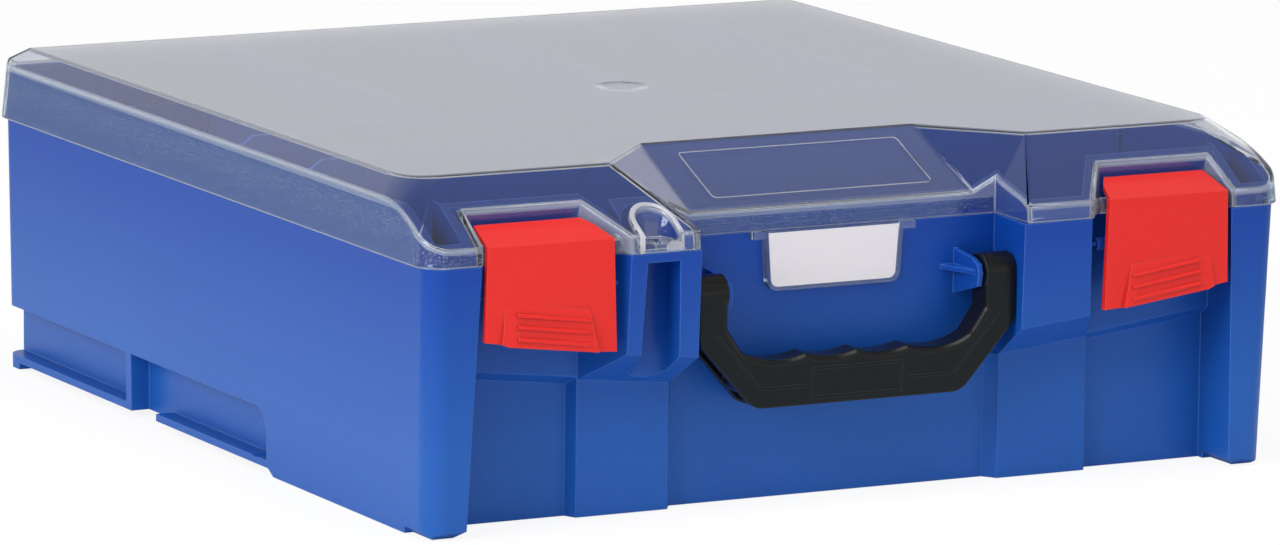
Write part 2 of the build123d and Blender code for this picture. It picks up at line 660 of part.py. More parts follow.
def handle_outline():
    """Front view of the handle's outer edge with its four lower corners rounded."""
    outline = handle_polygon()
    outline = fillet(outline.vertices().group_by(Axis.Y)[1], HANDLE_CORNER_R[0])
    return fillet(outline.vertices().group_by(Axis.Y)[0], HANDLE_CORNER_R[1])


def grip_grooves():
    """Front view of the thin moulded grooves: one along the edge, one round a blank panel."""
    sharp = handle_polygon()
    edge = offset(sharp, amount=-GROOVE_INSET, kind=Kind.INTERSECTION)
    edge -= offset(sharp, amount=-GROOVE_INSET - GROOVE_WIDTH, kind=Kind.INTERSECTION)
    middle_x = (GRIP_PANEL_X[0] + GRIP_PANEL_X[1]) / 2
    middle_z = (GRIP_PANEL_Z[0] + GRIP_PANEL_Z[1]) / 2
    length = GRIP_PANEL_X[1] - GRIP_PANEL_X[0]
    height = GRIP_PANEL_Z[1] - GRIP_PANEL_Z[0]
    edge -= Pos(middle_x, middle_z) * Rectangle(length + 4.4, height)
    edge -= Pos(0, GROOVE_TOP_Z + 20.0) * Rectangle(150.0, 40.0)
    panel = Rectangle(length, height) - Rectangle(length - 2 * GROOVE_WIDTH, height - 2 * GROOVE_WIDTH)
    return edge + Pos(middle_x, middle_z) * panel


def handle():
    """The black drop handle: a grip with a hollow rim channel, ribs and two pivot stubs."""
    outline = handle_outline()
    front = Plane.XZ.offset(-HANDLE_Y[0])
    width = HANDLE_Y[1] - HANDLE_Y[0]
    body = extrude(front * (outline - finger_opening()), width, dir=(0, 1, 0))
    rim = []
    for edge in body.edges():
        spot = edge.center()
        on_face = abs(spot.Y - HANDLE_Y[0]) < 0.01 or abs(spot.Y - HANDLE_Y[1]) < 0.01
        if on_face and abs(spot.X) < HANDLE_ARM_X[0] + 0.1 and FINGER_HOLLOW_Z - 1 < spot.Z < PIVOT_Z - 0.1:
            rim.append(edge)
    body = fillet(rim, HANDLE_EDGE_R)
    wall = HANDLE_WALL
    channel_front = Plane.XZ.offset(-HANDLE_Y[0] - wall)
    channel_outline = offset(outline, amount=1.0, kind=Kind.ARC) - finger_opening(wall)
    channel = extrude(channel_front * channel_outline, width - 2 * wall, dir=(0, 1, 0))
    channel &= span_box((-70.0, 70.0), (-200.0, -160.0), (30.0, 68.0))
    for x in (-50.0, -30.0, -10.0, 10.0, 30.0, 50.0):
        channel -= span_box((x - 0.9, x + 0.9), (-200.0, -160.0), (39.0, 70.0))
    body -= channel
    body -= extrude(front * grip_grooves(), GROOVE_DEPTH, dir=(0, 1, 0))
    body += both_sides(rod_x(HANDLE_BOSS_R, HANDLE_ARM_X, PIVOT_Y, PIVOT_Z))
    stub_x = (EAR_X[0] + 0.7, HANDLE_ARM_X[0] + 0.4)
    body += both_sides(rod_x(HANDLE_PIN_R, stub_x, PIVOT_Y, PIVOT_Z))
    return Pos(HANDLE_X, 0, 0) * body


# ---- label ----
def round_foot(points, radius, y):
    """A (x, z) polygon drawn out along Y, with its two lowest corners rounded."""
    slab = prism_y(points, y)
    return fillet(slab.edges().filter_by(Axis.Y).sort_by(Axis.Z)[:2], radius)


def label_holder():
    """The clear pocket that hangs from the lid's centre rim and holds the card."""
    outline = [(-29.1, RIM_Z), (29.1, RIM_Z), (27.5, 77.7), (-27.5, 77.7)]
    window = [(-25.8, RIM_Z + 1), (25.8, RIM_Z + 1), (24.2, 80.6), (-24.2, 80.6)]
    card_space = [(-27.8, RIM_Z + 1), (27.8, RIM_Z + 1), (26.2, 78.9), (-26.2, 78.9)]
    holder = round_foot(outline, 4.0, (HOLDER_Y[0], HOLDER_Y[3]))
    holder -= round_foot(card_space, 3.0, (HOLDER_Y[1], HOLDER_Y[2]))
    holder -= round_foot(window, 1.8, (HOLDER_Y[2] - 0.1, HOLDER_Y[3] + 0.1))
    tabs = span_box((-34.0, 34.0), (HOLDER_Y[0], HOLDER_Y[3]), (97.3, RIM_Z))
    return holder + (tabs - span_box((-28.5, 28.5), (-171.0, -166.0), (97.0, 101.0)))


def label_card():
    """The blank paper card in the pocket."""
    card = [(-27.3, 99.2), (27.3, 99.2), (25.9, 79.1), (-25.9, 79.1)]
    return round_foot(card, 2.9, (HOLDER_Y[1] + 0.1, HOLDER_Y[2] - 0.1))


# ---- dividers and pins ----
def long_divider(y):
    """A divider across the full width, cut away over the side rails."""
    wide = CASE_FOOT_HALF[0] - CASE_WALL - 0.5
    narrow = RAIL_FLOOR_X - CASE_WALL - 0.5
    step_z = RAIL_Z[1] + CASE_WALL + 0.5 if y > RAIL_FRONT_Y - 5 else FLOOR_TOP_Z + 0.1
    outline = [
        (narrow, FLOOR_TOP_Z + 0.1),
        (narrow, step_z),
        (wide, step_z),
        (wide, 117.6),
        (wide - 6.0, DIVIDER_TOP_Z),
        (-wide + 6.0, DIVIDER_TOP_Z),
        (-wide, 117.6),
        (-wide, step_z),
        (-narrow, step_z),
        (-narrow, FLOOR_TOP_Z + 0.1),
    ]
    return prism_y(outline, (y - DIVIDER / 2, y + DIVIDER / 2))


def cross_divider(x):
    """A divider from the rear long divider to the back wall."""
    front = LONG_DIVIDER_Y[1] + DIVIDER / 2 + 0.2
    back = CASE_FOOT_HALF[1] - CASE_WALL - 0.4
    side = [
        (front, FLOOR_TOP_Z + 0.1),
        (back, FLOOR_TOP_Z + 0.1),
        (back, 115.0),
        (back - 9.0, DIVIDER_TOP_Z),
        (front, DIVIDER_TOP_Z),
    ]
    return prism_x(side, (x - DIVIDER / 2, x + DIVIDER / 2))


def hinge_pin(side):
    """A plain steel pin through one hinge."""
    half = LID_KNUCKLE_LENGTH / 2 + 0.4 + CASE_KNUCKLE_LENGTH
    return rod_x(PIN_R, (side * HINGE_X - half, side * HINGE_X + half), HINGE_Y, HINGE_Z)


# ---- write one file per piece ----
right_latch = latch()
pieces = {
    "case_shell": case_shell(),
    "lid_shell": lid_shell(),
    "latch_right": right_latch,
    "latch_left": flipped(right_latch),
    "handle": handle(),
    "label_holder": label_holder(),
    "label_card": label_card(),
    "divider_front": long_divider(LONG_DIVIDER_Y[0]),
    "divider_rear": long_divider(LONG_DIVIDER_Y[1]),
    "hinge_pin_right": hinge_pin(1),
    "hinge_pin_left": hinge_pin(-1),
}
for place, x in zip(("left", "middle", "right"), CROSS_DIVIDER_X):
    pieces["divider_cross_" + place] = cross_divider(x)

os.makedirs("parts", exist_ok=True)
for name, piece in pieces.items():
    export_step(piece, "parts/" + name + ".step")
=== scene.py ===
import math

import bmesh
import bpy
from mathutils import Matrix, Vector
from mathutils.geometry import intersect_point_line


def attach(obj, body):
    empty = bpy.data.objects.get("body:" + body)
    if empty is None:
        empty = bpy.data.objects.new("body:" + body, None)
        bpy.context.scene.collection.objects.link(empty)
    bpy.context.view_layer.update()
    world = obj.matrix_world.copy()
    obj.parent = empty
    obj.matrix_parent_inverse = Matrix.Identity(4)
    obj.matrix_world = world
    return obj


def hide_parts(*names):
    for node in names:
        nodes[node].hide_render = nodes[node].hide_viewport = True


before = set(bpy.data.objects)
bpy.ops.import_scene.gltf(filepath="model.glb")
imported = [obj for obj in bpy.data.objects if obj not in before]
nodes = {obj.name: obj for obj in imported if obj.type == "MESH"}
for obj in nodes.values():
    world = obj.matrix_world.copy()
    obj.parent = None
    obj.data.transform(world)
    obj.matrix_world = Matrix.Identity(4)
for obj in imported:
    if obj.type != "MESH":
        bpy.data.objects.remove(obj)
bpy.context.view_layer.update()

MM = 0.001

# ---- camera ----
# A long lens in front of the left corner and a little above it, level but for a slight roll.
# It looks at a point near the middle of the case.
view_turn = math.radians(-27.607)
view_rise = math.radians(10.066)
view_roll = math.radians(0.643)
view_distance = 3376.7 * MM
view_target = Vector((8.452, 1.0, 54.441)) * MM
lens_mm = 245.51
sensor_mm = 36.0

back = Vector(
    (
        math.sin(view_turn) * math.cos(view_rise),
        -math.cos(view_turn) * math.cos(view_rise),
        math.sin(view_rise),
    )
)
level = Vector((math.cos(view_turn), math.sin(view_turn), 0))
upright = back.cross(level)
across = math.cos(view_roll) * level + math.sin(view_roll) * upright
up = math.cos(view_roll) * upright - math.sin(view_roll) * level
camera_data = bpy.data.cameras.new("camera")
camera_data.sensor_fit = "HORIZONTAL"
camera_data.sensor_width = sensor_mm
camera_data.lens = lens_mm
camera = bpy.data.objects.new("camera", camera_data)
bpy.context.scene.collection.objects.link(camera)
turned = Matrix((across, up, back)).transposed().to_4x4()
camera.matrix_world = Matrix.Translation(view_target + back * view_distance) @ turned
bpy.context.scene.camera = camera
bpy.context.scene.view_settings.view_transform = "Standard"


# ---- studio ----
# Three softboxes in a room that is white at eye level and darker overhead, which is what the
# clear lid mirrors. Past the case the camera sees plain white.
def add_node(tree, kind, settings=None, links=None):
    """A new shader node with its settings and its incoming links."""
    node = tree.nodes.new(kind)
    for name, value in (settings or {}).items():
        if isinstance(name, int) or name in node.inputs:
            node.inputs[name].default_value = value
        else:
            setattr(node, name, value)
    for name, source in (links or {}).items():
        tree.links.new(source, node.inputs[name])
    return node


# The room's shade by the sine of the height over the horizon. The steps between the two ends
# are shades of a faintly blue white.
low_sine, low_white = 0.06, (0.98, 0.98, 0.98, 1)
high_sine, high_grey = 1.0, (0.15, 0.16, 0.17, 1)
room_steps = ((0.174, 1.0), (0.23, 0.96), (0.30, 0.64), (0.755, 0.42), (0.86, 0.19))
room_tint = (0.97, 0.98, 1.0)

world = bpy.data.worlds.new("white_room")
bpy.context.scene.world = world
world.use_nodes = True
sky = world.node_tree
sky.nodes.clear()
direction = add_node(sky, "ShaderNodeTexCoord")
height = add_node(sky, "ShaderNodeSeparateXYZ", links={0: direction.outputs["Generated"]})
room_shades = add_node(sky, "ShaderNodeValToRGB", links={0: height.outputs["Z"]})
ramp = room_shades.color_ramp
ramp.elements[0].position = low_sine
ramp.elements[0].color = low_white
ramp.elements[1].position = high_sine
ramp.elements[1].color = high_grey
for sine, shade in room_steps:
    step = ramp.elements.new(sine)
    step.color = (*(part * shade for part in room_tint), 1)
path = add_node(sky, "ShaderNodeLightPath")
room = add_node(sky, "ShaderNodeBackground", {"Strength": 1.0}, {"Color": room_shades.outputs[0]})
white = add_node(sky, "ShaderNodeBackground", {"Strength": 1.0, "Color": (1, 1, 1, 1)})
either = add_node(
    sky,
    "ShaderNodeMixShader",
    links={0: path.outputs["Is Camera Ray"], 1: room.outputs[0], 2: white.outputs[0]},
)
add_node(sky, "ShaderNodeOutputWorld", links={"Surface": either.outputs[0]})


def softbox(name, place, aim, size, watts):
    """A square area lamp that faces a point of the case. Places and size are in metres."""
    lamp = bpy.data.lights.new(name, "AREA")
    lamp.shape = "SQUARE"
    lamp.size = size
    lamp.energy = watts
    holder = bpy.data.objects.new(name, lamp)
    bpy.context.scene.collection.objects.link(holder)
    holder.location = place
    holder.rotation_euler = (Vector(aim) - Vector(place)).to_track_quat("-Z", "Y").to_euler()


softbox("key_softbox", place=(-2.8, -1.1, 1.6), aim=(0, 0, 0.05), size=1.5, watts=60)
softbox("front_softbox", place=(0.5, -1.7, 2.3), aim=(0, 0, 0.05), size=0.8, watts=7)
softbox("top_softbox", place=(-0.2, -0.5, 2.6), aim=(0, 0, 0.1), size=1.8, watts=38)


# ---- floor ----
# A wide sheet of matt white paper, lying flat under the case. To the eye it is an even white
# without a horizon, and it takes the soft shadow of the case.
def linear(hex_colour):
    """An sRGB hex colour as the linear numbers that shaders take."""
    values = []
    for start in (1, 3, 5):
        c = int(hex_colour[start : start + 2], 16) / 255
        values.append(c / 12.92 if c <= 0.04045 else ((c + 0.055) / 1.055) ** 2.4)
    return (*values, 1.0)


def new_material(name):
    """An empty node material and its node tree."""
    material = bpy.data.materials.new(name)
    material.use_nodes = True
    tree = material.node_tree
    tree.nodes.clear()
    return material, tree


half = 9.0
paper_drop = 0.3 * MM
floor_mesh = bpy.data.meshes.new("floor")
floor_mesh.from_pydata(
    [(-half, -half, 0), (half, -half, 0), (half, half, 0), (-half, half, 0)], [], [(0, 1, 2, 3)]
)
floor = bpy.data.objects.new("floor", floor_mesh)
bpy.context.scene.collection.objects.link(floor)
floor.location.z = -paper_drop

# The paper is nearly full white where it is seen, and a plain diffuse white for the light
# that it throws back on the case.
glow_share = 0.88
paper, tree = new_material("matt_white_paper")
sheet = add_node(tree, "ShaderNodeBsdfDiffuse", {"Color": linear("#FAFAFA")})
glow = add_node(tree, "ShaderNodeEmission", {"Color": (1, 1, 1, 1), "Strength": 1.0})
lit = add_node(
    tree, "ShaderNodeMixShader", {0: glow_share}, {1: sheet.outputs[0], 2: glow.outputs[0]}
)
# Painted reflection: the paper as the plastic mirrors it, a dull cyan grey.
painted_mirror_grey = add_node(tree, "ShaderNodeBsdfDiffuse", {"Color": linear("#B4C8CC")})

# It is seen by the camera, and straight through the clear lid with no mirroring on the way.
# A count of bounces below a half is none.
half_bounce = 0.5
path = add_node(tree, "ShaderNodeLightPath")
straight = add_node(
    tree,
    "ShaderNodeMath",
    {"operation": "LESS_THAN", 1: half_bounce},
    {0: path.outputs["Glossy Depth"]},
)
through = add_node(
    tree,
    "ShaderNodeMath",
    {"operation": "MULTIPLY"},
    {0: path.outputs["Is Transmission Ray"], 1: straight.outputs[0]},
)
seen = add_node(
    tree,
    "ShaderNodeMath",
    {"operation": "MAXIMUM"},
    {0: path.outputs["Is Camera Ray"], 1: through.outputs[0]},
)

# Mirrored in the plastic the paper is painted a dull cyan grey, with a painted pool of
# whiter light on a strip beside and behind the case, which paints the sheen of the side
# walls. The edges of that strip are in metres from the middle.
strip_starts_y, strip_whole_y = -0.30, -0.15
strip_whole_x, strip_ends_x = 0.24, 0.45
strip_painted_white = 0.85
place = add_node(tree, "ShaderNodeTexCoord")
spot = add_node(tree, "ShaderNodeSeparateXYZ", links={0: place.outputs["Object"]})
behind = add_node(
    tree,
    "ShaderNodeMapRange",
    {"From Min": strip_starts_y, "From Max": strip_whole_y},
    {"Value": spot.outputs["Y"]},
)
aside = add_node(tree, "ShaderNodeMath", {"operation": "ABSOLUTE"}, {0: spot.outputs["X"]})
near = add_node(
    tree,
    "ShaderNodeMapRange",
    {"From Min": strip_whole_x, "From Max": strip_ends_x, "To Min": strip_painted_white, "To Max": 0.0},
    {"Value": aside.outputs[0]},
)
on_painted_strip = add_node(
    tree,
    "ShaderNodeMath",
    {"operation": "MULTIPLY"},
    {0: behind.outputs[0], 1: near.outputs[0]},
)
unpassed = add_node(
    tree,
    "ShaderNodeMath",
    {"operation": "LESS_THAN", 1: half_bounce},
    {0: path.outputs["Transmission Depth"]},
)
mirrored = add_node(
    tree,
    "ShaderNodeMath",
    {"operation": "MULTIPLY"},
    {0: unpassed.outputs[0], 1: path.outputs["Is Glossy Ray"]},
)
sheen = add_node(
    tree,
    "ShaderNodeMath",
    {"operation": "MULTIPLY"},
    {0: mirrored.outputs[0], 1: on_painted_strip.outputs[0]},
)
share = add_node(
    tree,
    "ShaderNodeMath",
    {"operation": "MAXIMUM"},
    {0: path.outputs["Is Diffuse Ray"], 1: sheen.outputs[0]},
)
unseen = add_node(
    tree, "ShaderNodeMixShader", links={0: share.outputs[0], 1: painted_mirror_grey.outputs[0], 2: sheet.outputs[0]}
)
paper_mix = add_node(
    tree, "ShaderNodeMixShader", links={0: seen.outputs[0], 1: unseen.outputs[0], 2: lit.outputs[0]}
)
add_node(tree, "ShaderNodeOutputMaterial", links={"Surface": paper_mix.outputs[0]})
floor_mesh.materials.append(paper)


# ---- case shell ----
# The box is one injection moulding in blue polypropylene, taken from a finely eroded mould.
# It is satin, with a painted highlight along its edges, where light scatters in the thin
# rounded plastic, and painted shade that deepens its blue towards its top and on its flat tops
# under the lid.
def painted_shade_to_the_top(tree, where, body, neck_mm):
    """Painted shade that deepens the walls' blue as they rise and darkens the flat faces above the
    box's neck.
    """
    top_shade_hex, neck_shade_hex = "#083E98", "#0B3072"
    starts_mm, whole_mm = 30, 95
    neck_soft_mm = 0.5
    neck_shade_share, wall_shade_share = 0.85, 0.25
    # Painted shade: the blue of the walls deepens from starts_mm up to whole_mm.
    level = add_node(tree, "ShaderNodeSeparateXYZ", links={0: where.outputs["Object"]})
    height = add_node(
        tree,
        "ShaderNodeMapRange",
        {"From Min": starts_mm * MM, "From Max": whole_mm * MM},
        {"Value": level.outputs["Z"]},
    )
    body = add_node(
        tree,
        "ShaderNodeMix",
        {"data_type": "RGBA", 7: linear(top_shade_hex)},
        {0: height.outputs[0], 6: body.outputs[2]},
    )
    # Painted shade on the flat tops above the neck, which the lid shades, and a little on the walls
    # there.
    above = add_node(
        tree,
        "ShaderNodeMapRange",
        {
            "From Min": (neck_mm - neck_soft_mm) * MM,
            "From Max": (neck_mm + neck_soft_mm) * MM,
            "To Max": neck_shade_share,
        },
        {"Value": level.outputs["Z"]},
    )
    geometry = add_node(tree, "ShaderNodeNewGeometry")
    upward = add_node(tree, "ShaderNodeSeparateXYZ", links={0: geometry.outputs["Normal"]})
    flat = add_node(
        tree,
        "ShaderNodeMapRange",
        {"From Min": 0.5, "From Max": 0.9, "To Min": wall_shade_share},
        {"Value": upward.outputs["Z"]},
    )
    over = add_node(
        tree,
        "ShaderNodeMath",
        {"operation": "MULTIPLY"},
        {0: above.outputs[0], 1: flat.outputs[0]},
    )
    return add_node(
        tree,
        "ShaderNodeMix",
        {"data_type": "RGBA", 7: linear(neck_shade_hex)},
        {0: over.outputs[0], 6: body.outputs[2]},
    )


def moulded_plastic(
    name,
    body_hex,
    deep_hex,
    edge_highlight_hex,
    roughness,
    grain_mm,
    bump,
    edge_mm=0.7,
    crease_shade=0.0,
    neck_mm=None,
):
    """Coloured plastic as it leaves the mould, with painted edge highlights and painted crease
    shade. Its grain is drawn as coarse as it shows.
    """
    drift_mm = 111.1
    edge_highlight_share = 0.55
    crease_shade_mm = 1.6
    grain_depth_mm = 0.1
    gloss_drift = 0.04
    material, tree = new_material(name)
    where = add_node(tree, "ShaderNodeTexCoord")
    drift = add_node(
        tree,
        "ShaderNodeTexNoise",
        {"Scale": 1 / (drift_mm * MM), "Detail": 2.0},
        {"Vector": where.outputs["Object"]},
    )
    body = add_node(
        tree,
        "ShaderNodeMix",
        {"data_type": "RGBA", 6: linear(deep_hex), 7: linear(body_hex)},
        {0: drift.outputs["Fac"]},
    )
    if neck_mm:
        body = painted_shade_to_the_top(tree, where, body, neck_mm)
    # Painted highlight: a paler colour is mixed in along the edges, where the rounded normal turns
    # away.
    geometry = add_node(tree, "ShaderNodeNewGeometry")
    rounded = add_node(tree, "ShaderNodeBevel", {"samples": 6, "Radius": edge_mm * MM})
    facing = add_node(
        tree,
        "ShaderNodeVectorMath",
        {"operation": "DOT_PRODUCT"},
        {0: rounded.outputs[0], 1: geometry.outputs["Normal"]},
    )
    edge = add_node(
        tree,
        "ShaderNodeMapRange",
        {"From Min": 0.99, "From Max": 0.75, "To Min": 0.0, "To Max": edge_highlight_share},
        {"Value": facing.outputs["Value"]},
    )
    colour = add_node(
        tree,
        "ShaderNodeMix",
        {"data_type": "RGBA", 7: linear(edge_highlight_hex)},
        {0: edge.outputs[0], 6: body.outputs[2]},
    )
    # Painted shade in the creases: the colour is mixed towards its ambient occlusion.
    shaded = add_node(
        tree,
        "ShaderNodeAmbientOcclusion",
        {"samples": 8, "Distance": crease_shade_mm * MM},
        {"Color": colour.outputs[2]},
    )
    colour = add_node(
        tree,
        "ShaderNodeMix",
        {"data_type": "RGBA", 0: crease_shade},
        {6: colour.outputs[2], 7: shaded.outputs["Color"]},
    )
    grain = add_node(
        tree,
        "ShaderNodeTexNoise",
        {"Scale": 1 / (grain_mm * MM), "Detail": 1.0},
        {"Vector": where.outputs["Object"]},
    )
    skin = add_node(
        tree,
        "ShaderNodeBump",
        {"Strength": bump, "Distance": grain_depth_mm * MM},
        {"Height": grain.outputs["Fac"], "Normal": rounded.outputs[0]},
    )
    gloss = add_node(
        tree,
        "ShaderNodeMapRange",
        {"To Min": roughness - gloss_drift, "To Max": roughness + gloss_drift},
        {"Value": grain.outputs["Fac"]},
    )
    plastic = add_node(
        tree,
        "ShaderNodeBsdfPrincipled",
        {"IOR": 1.49, "Specular IOR Level": 0.28},
        {"Base Color": colour.outputs[2], "Roughness": gloss.outputs[0], "Normal": skin.outputs[0]},
    )
    add_node(tree, "ShaderNodeOutputMaterial", links={"Surface": plastic.outputs[0]})
    return material


blue_polypropylene = moulded_plastic(
    "blue_polypropylene",
    body_hex="#1C58AB",
    deep_hex="#1951A0",
    edge_highlight_hex="#5C8CDC",
    roughness=0.36,
    grain_mm=1.1,
    bump=0.12,
    neck_mm=100.2,
)
nodes["case_shell"].material_slots[0].material = blue_polypropylene

# ---- dividers ----
# Five loose plates, moulded in the same satin polypropylene, painted a slightly purer blue
# than the box for the light that reaches them through the lid. They stand in the guide ribs
# of the box, and their top edges have a painted highlight, as the box's edges have.
divider_polypropylene = moulded_plastic(
    "blue_divider_polypropylene",
    body_hex="#1350B0",
    deep_hex="#1149A4",
    edge_highlight_hex="#5C8CDC",
    roughness=0.36,
    grain_mm=1.1,
    bump=0.12,
)
for name in (
    "divider_front",
    "divider_rear",
    "divider_cross_left",
    "divider_cross_middle",
    "divider_cross_right",
):
    nodes[name].material_slots[0].material = divider_polypropylene

# ---- hinge pins ----
# Two pins of drawn steel wire, pushed through the knuckles of the box and the lid at the
# back. The wire is bright, with fine lines along it that are drawn as wide as they show.
line_length_mm, line_width_mm = 25, 0.25
along, round_it = 1 / (line_length_mm * MM), 1 / (line_width_mm * MM)
drawn_wire, tree = new_material("drawn_steel_wire")
where = add_node(tree, "ShaderNodeTexCoord")
stretch = add_node(
    tree,
    "ShaderNodeMapping",
    {"Scale": (along, round_it, round_it)},
    {"Vector": where.outputs["Object"]},
)
lines = add_node(tree, "ShaderNodeTexNoise", {"Scale": 1.0}, {"Vector": stretch.outputs[0]})
polish = add_node(
    tree, "ShaderNodeMapRange", {"To Min": 0.22, "To Max": 0.42}, {"Value": lines.outputs["Fac"]}
)
wire = add_node(
    tree,
    "ShaderNodeBsdfPrincipled",
    {"Base Color": linear("#A9ABAE"), "Metallic": 1.0},
    {"Roughness": polish.outputs[0]},
)
add_node(tree, "ShaderNodeOutputMaterial", links={"Surface": wire.outputs[0]})
for name in ("hinge_pin_right", "hinge_pin_left"):
    nodes[name].material_slots[0].material = drawn_wire


# ---- lid ----
# The cover is one moulding in clear polycarbonate, 2 mm thick, that turns on the hinge pins.
# Its top is faintly etched inside, its skirt is grained with fine dots, and its rims are painted
# pale with haze as a highlight, where the wall is seen edge on.
def clear_polycarbonate(name, tint_hex, haze, roughness, passed_hex="#F2F3F5"):
    """Clear plastic that lets lamp light through, with a share of haze in its depth."""
    material, tree = new_material(name)
    clear = add_node(
        tree,
        "ShaderNodeBsdfPrincipled",
        {
            "Base Color": linear(tint_hex),
            "IOR": 1.586,
            "Transmission Weight": 1.0 - haze,
            "Roughness": roughness,
        },
    )
    open_way = add_node(tree, "ShaderNodeBsdfTransparent", {"Color": linear(passed_hex)})
    path = add_node(tree, "ShaderNodeLightPath")
    lamp_light = add_node(
        tree,
        "ShaderNodeMath",
        {"operation": "MAXIMUM"},
        {0: path.outputs["Is Shadow Ray"], 1: path.outputs["Is Diffuse Ray"]},
    )
    both = add_node(
        tree,
        "ShaderNodeMixShader",
        links={0: lamp_light.outputs[0], 1: clear.outputs[0], 2: open_way.outputs[0]},
    )
    add_node(tree, "ShaderNodeOutputMaterial", links={"Surface": both.outputs[0]})
    return material, clear


def dotted(material, plastic, pale_hex, deep_hex, dot_mm):
    """Fine raised dots over a clear plastic, drawn as coarse as they show."""
    dot_edge, ground_edge = 0.20, 0.34
    dot_clear, ground_clear = 0.84, 0.99
    dot_height_mm = 0.2
    tree = material.node_tree
    where = add_node(tree, "ShaderNodeTexCoord")
    dots = add_node(
        tree,
        "ShaderNodeTexVoronoi",
        {"Scale": 1 / (dot_mm * MM), "Randomness": 0.5},
        {"Vector": where.outputs["Object"]},
    )
    ground = add_node(
        tree,
        "ShaderNodeMapRange",
        {"From Min": dot_edge, "From Max": ground_edge},
        {"Value": dots.outputs["Distance"]},
    )
    colour = add_node(
        tree,
        "ShaderNodeMix",
        {"data_type": "RGBA", 6: linear(pale_hex), 7: linear(deep_hex)},
        {0: ground.outputs[0]},
    )
    tree.links.new(colour.outputs[2], plastic.inputs["Base Color"])
    clearness = add_node(
        tree,
        "ShaderNodeMapRange",
        {"To Min": dot_clear, "To Max": ground_clear},
        {"Value": ground.outputs[0]},
    )
    tree.links.new(clearness.outputs[0], plastic.inputs["Transmission Weight"])
    skin = add_node(
        tree,
        "ShaderNodeBump",
        {"Strength": 0.2, "Distance": dot_height_mm * MM},
        {"Height": dots.outputs["Distance"]},
    )
    tree.links.new(skin.outputs[0], plastic.inputs["Normal"])


# The same plastic looks water clear where it is polished, milky on the etched top, and blue-grey
# under the dots of the skirt. It is painted pale at its rims and white in the thick lip of the
# scoop, as highlights.
polished_plastic, _ = clear_polycarbonate(
    "clear_polycarbonate", "#F4F6FA", haze=0.01, roughness=0.02, passed_hex="#ECEEF2"
)
etched_plastic, _ = clear_polycarbonate(
    "etched_clear_polycarbonate", "#DCDDE2", haze=0.07, roughness=0.22, passed_hex="#EAECF0"
)
rim_highlight_plastic, _ = clear_polycarbonate(
    "polycarbonate_rim_highlight", "#BEC5D2", haze=0.24, roughness=0.12
)
lip_highlight_plastic, _ = clear_polycarbonate(
    "polycarbonate_lip_highlight", "#E8E8EC", haze=0.30, roughness=0.12
)
dotted_plastic, shader = clear_polycarbonate(
    "dotted_clear_polycarbonate", "#DFE1E6", haze=0.01, roughness=0.12
)
dotted(dotted_plastic, shader, pale_hex="#D8DFEE", deep_hex="#B4BDD2", dot_mm=1.3)
POLISHED, ETCHED, RIM, DOTTED, LIP = range(5)
lid_plastics = (polished_plastic, etched_plastic, rim_highlight_plastic, dotted_plastic, lip_highlight_plastic)

# Places on the lid in millimetres: its top and walls, the rims with the bands painted pale along
# them as highlights, the front slope, the scoop with its front rim, the latch notches and the round
# mark of the mould's gate.
top_z, side_x, back_y = 127, 178, 190
corner_x, corner_y = 150, -185
centre_x, centre_y, centre_top_z = 70, (-169.5, -168), 112
skirt_rim_z, centre_rim_z = 121.0, 109.2
band = 2.1
centre_band = 1.4 * band
slope_y, slope_z, slope_rise, slope_run = -193.4, 107.0, 21.0, 35.4
slope_front_y, slope_sides_y = -170, -150
scoop_x, scoop_half, scoop_back = -84.3, 7.1, -179.9
scoop_front_x, scoop_front_y, scoop_front_z = (-96.5, -68.0), -193, 107.5
scoop_lip_x = (-82.6, -75.4)
scoop_highlight_x = ((-93.6, -91.2), (-87.4, -86.4), (-70.8, -68.0))
notch_sides_x, notch_y = ((154, 160.5), (93, 111)), -172
gate_y, gate_radius, gate_play, gate_z = 2.0, 10.0, 0.2, (127.2, 127.9)
gate_scale, gate_floor_z = 0.75, 127.8

# How its faces and edges are told apart: a wall by how little its normal rises, a face that
# looks along an axis, an edge by its angle, a facet by its distance from the middle in
# millimetres, and a broad flat face by its area in square millimetres.
upright_z, along_axis = 0.3, 0.7
sharp_angle = math.radians(24)
facet_x, flat_area = 120, 150.0
edge_round = 0.6


def middle_mm(face):
    """The middle of a face, in millimetres."""
    return face.calc_center_median() / MM


def within(value, span):
    """Whether a value lies between the two ends of a span."""
    return span[0] < value < span[1]


def on_centre_rim(place):
    """Whether a place is on the front wall of the lid between the latches."""
    return abs(place.x) < centre_x and within(place.y, centre_y)


def on_skirt(place):
    """Whether a place is on the outside of the skirt or on the front wall of the centre."""
    beside = abs(place.x) > side_x
    at_corner = abs(place.x) > corner_x and place.y < corner_y
    return beside or at_corner or (on_centre_rim(place) and place.z < centre_top_z)


def on_scoop_front(face):
    """Whether a face is on the short front rim below the scoop."""
    x, y, z = middle_mm(face)
    in_front = y < scoop_front_y and z < scoop_front_z
    return face.normal.y < -along_axis and within(x, scoop_front_x) and in_front


def cut_across(bm, faces, point, normal):
    """Cuts faces along a plane through a point in millimetres."""
    edges = list({edge for face in faces for edge in face.edges})
    corners = list({corner for face in faces for corner in face.verts})
    bmesh.ops.bisect_plane(
        bm,
        geom=faces + edges + corners,
        dist=0.01 * MM,
        plane_co=Vector(point) * MM,
        plane_no=Vector(normal),
    )


